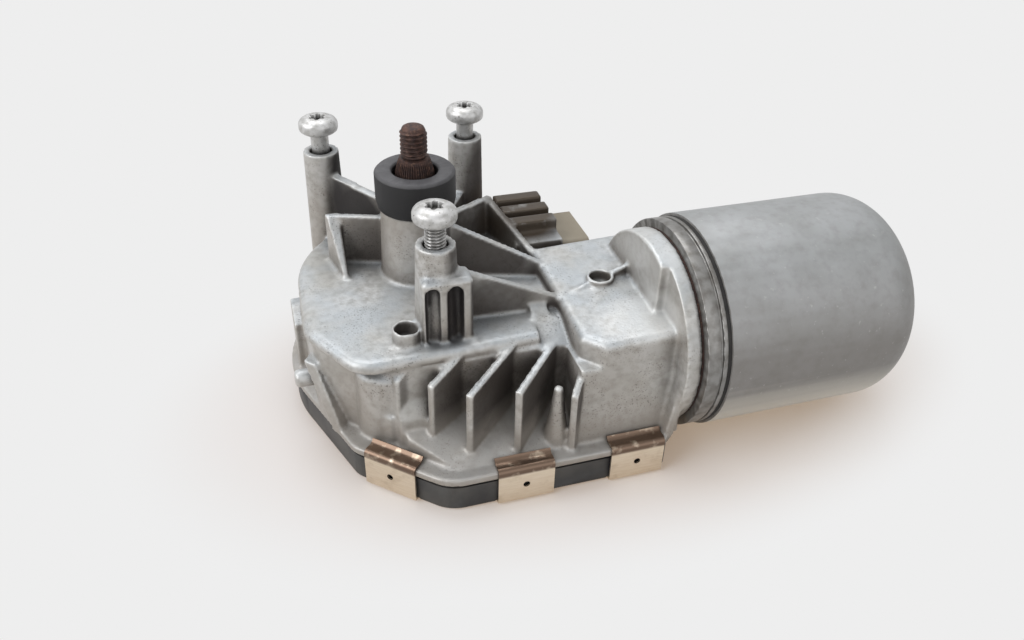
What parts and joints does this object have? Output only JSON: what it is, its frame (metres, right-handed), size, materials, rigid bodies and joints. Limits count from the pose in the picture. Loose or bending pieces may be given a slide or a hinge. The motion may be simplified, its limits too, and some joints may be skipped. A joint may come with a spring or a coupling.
{
  "type": "wiper motor",
  "caption": "Geared windscreen wiper motor: ribbed die-cast gearbox with three screw posts, threaded output shaft, round motor can and a clipped electronics cover.",
  "frame": {"origin": "where the output shaft axis crosses the plane of the three mounting post tops", "axes": "+Z along the output shaft towards its threaded end, +X along the motor from the worm to the closed end of the can"},
  "size_m": [0.1876, 0.1123, 0.0885],
  "materials": {
    "black_cover_plastic": "moulded, matt",
    "black_rubber": "moulded",
    "board_laminate": "laminate",
    "capacitor_can": "drawn",
    "carbon": "pressed carbon",
    "choke_ferrite": "sintered ferrite",
    "component_epoxy": "moulded epoxy",
    "connector_plastic": "moulded, dusty",
    "copper_bar": "turned copper",
    "copper_wire": "enamelled wire",
    "core_steel": "stacked laminations",
    "die_cast_aluminium": "die-cast, satin, speckled",
    "galvanised_steel": "deep-drawn, zinc coated",
    "gear_acetal": "moulded acetal",
    "plain_steel": "turned",
    "rust_gasket": "rust-stained",
    "rusty_steel": "brown, rusted",
    "seal_rubber": "moulded, matt",
    "sintered_bronze": "sintered",
    "spring_stainless": "rolled, polished",
    "tinned_brass": "stamped",
    "zinc_screw_steel": "zinc plated"
  },
  "bodies": {
    "root": {"gear_housing": "die_cast_aluminium", "bottom_cover": "black_cover_plastic", "cover_gasket": "black_rubber", "retaining_clips": "spring_stainless", "circuit_board": "board_laminate", "board_components": "component_epoxy", "filter_capacitors": "capacitor_can", "filter_choke": "choke_ferrite", "connector_shell": "connector_plastic", "connector_pins": "tinned_brass", "output_bushes": "sintered_bronze", "seal_cap": "seal_rubber", "mounting_screws": "zinc_screw_steel", "motor_can": "galvanised_steel", "end_ring": "plain_steel", "neck_gasket": "rust_gasket", "can_seal_ring": "black_rubber", "field_magnets": "choke_ferrite", "rear_bush": "sintered_bronze", "front_bush": "sintered_bronze", "thrust_pad": "gear_acetal", "brush_plate": "board_laminate", "carbon_brushes": "carbon", "brush_holders": "tinned_brass", "brush_springs": "plain_steel", "bearing_outer_race": "plain_steel", "bearing_balls": "plain_steel"},
    "output": {"output_shaft": "rusty_steel", "worm_wheel": "gear_acetal", "sensor_magnet": "choke_ferrite", "retaining_ring": "plain_steel", "thrust_washer": "plain_steel"},
    "armature": {"armature_shaft": "plain_steel", "armature_core": "core_steel", "armature_windings": "copper_wire", "commutator": "copper_bar", "commutator_hub": "component_epoxy", "bearing_inner_race": "plain_steel"}
  },
  "joints": [
    {"name": "armature_spin", "type": "hinge", "parent": "root", "child": "armature", "pos_m": [0.1057, -0.0368, -0.0359], "axis": [1, 0, 0], "continuous": true},
    {"name": "output_spin", "type": "hinge", "parent": "root", "child": "output", "pos_m": [0, 0, 0], "axis": [0, 0, 1], "continuous": true}
  ],
  "couplings": [
    {"joint": "output_spin", "follows": "armature_spin", "ratio": -0.019608}
  ]
}
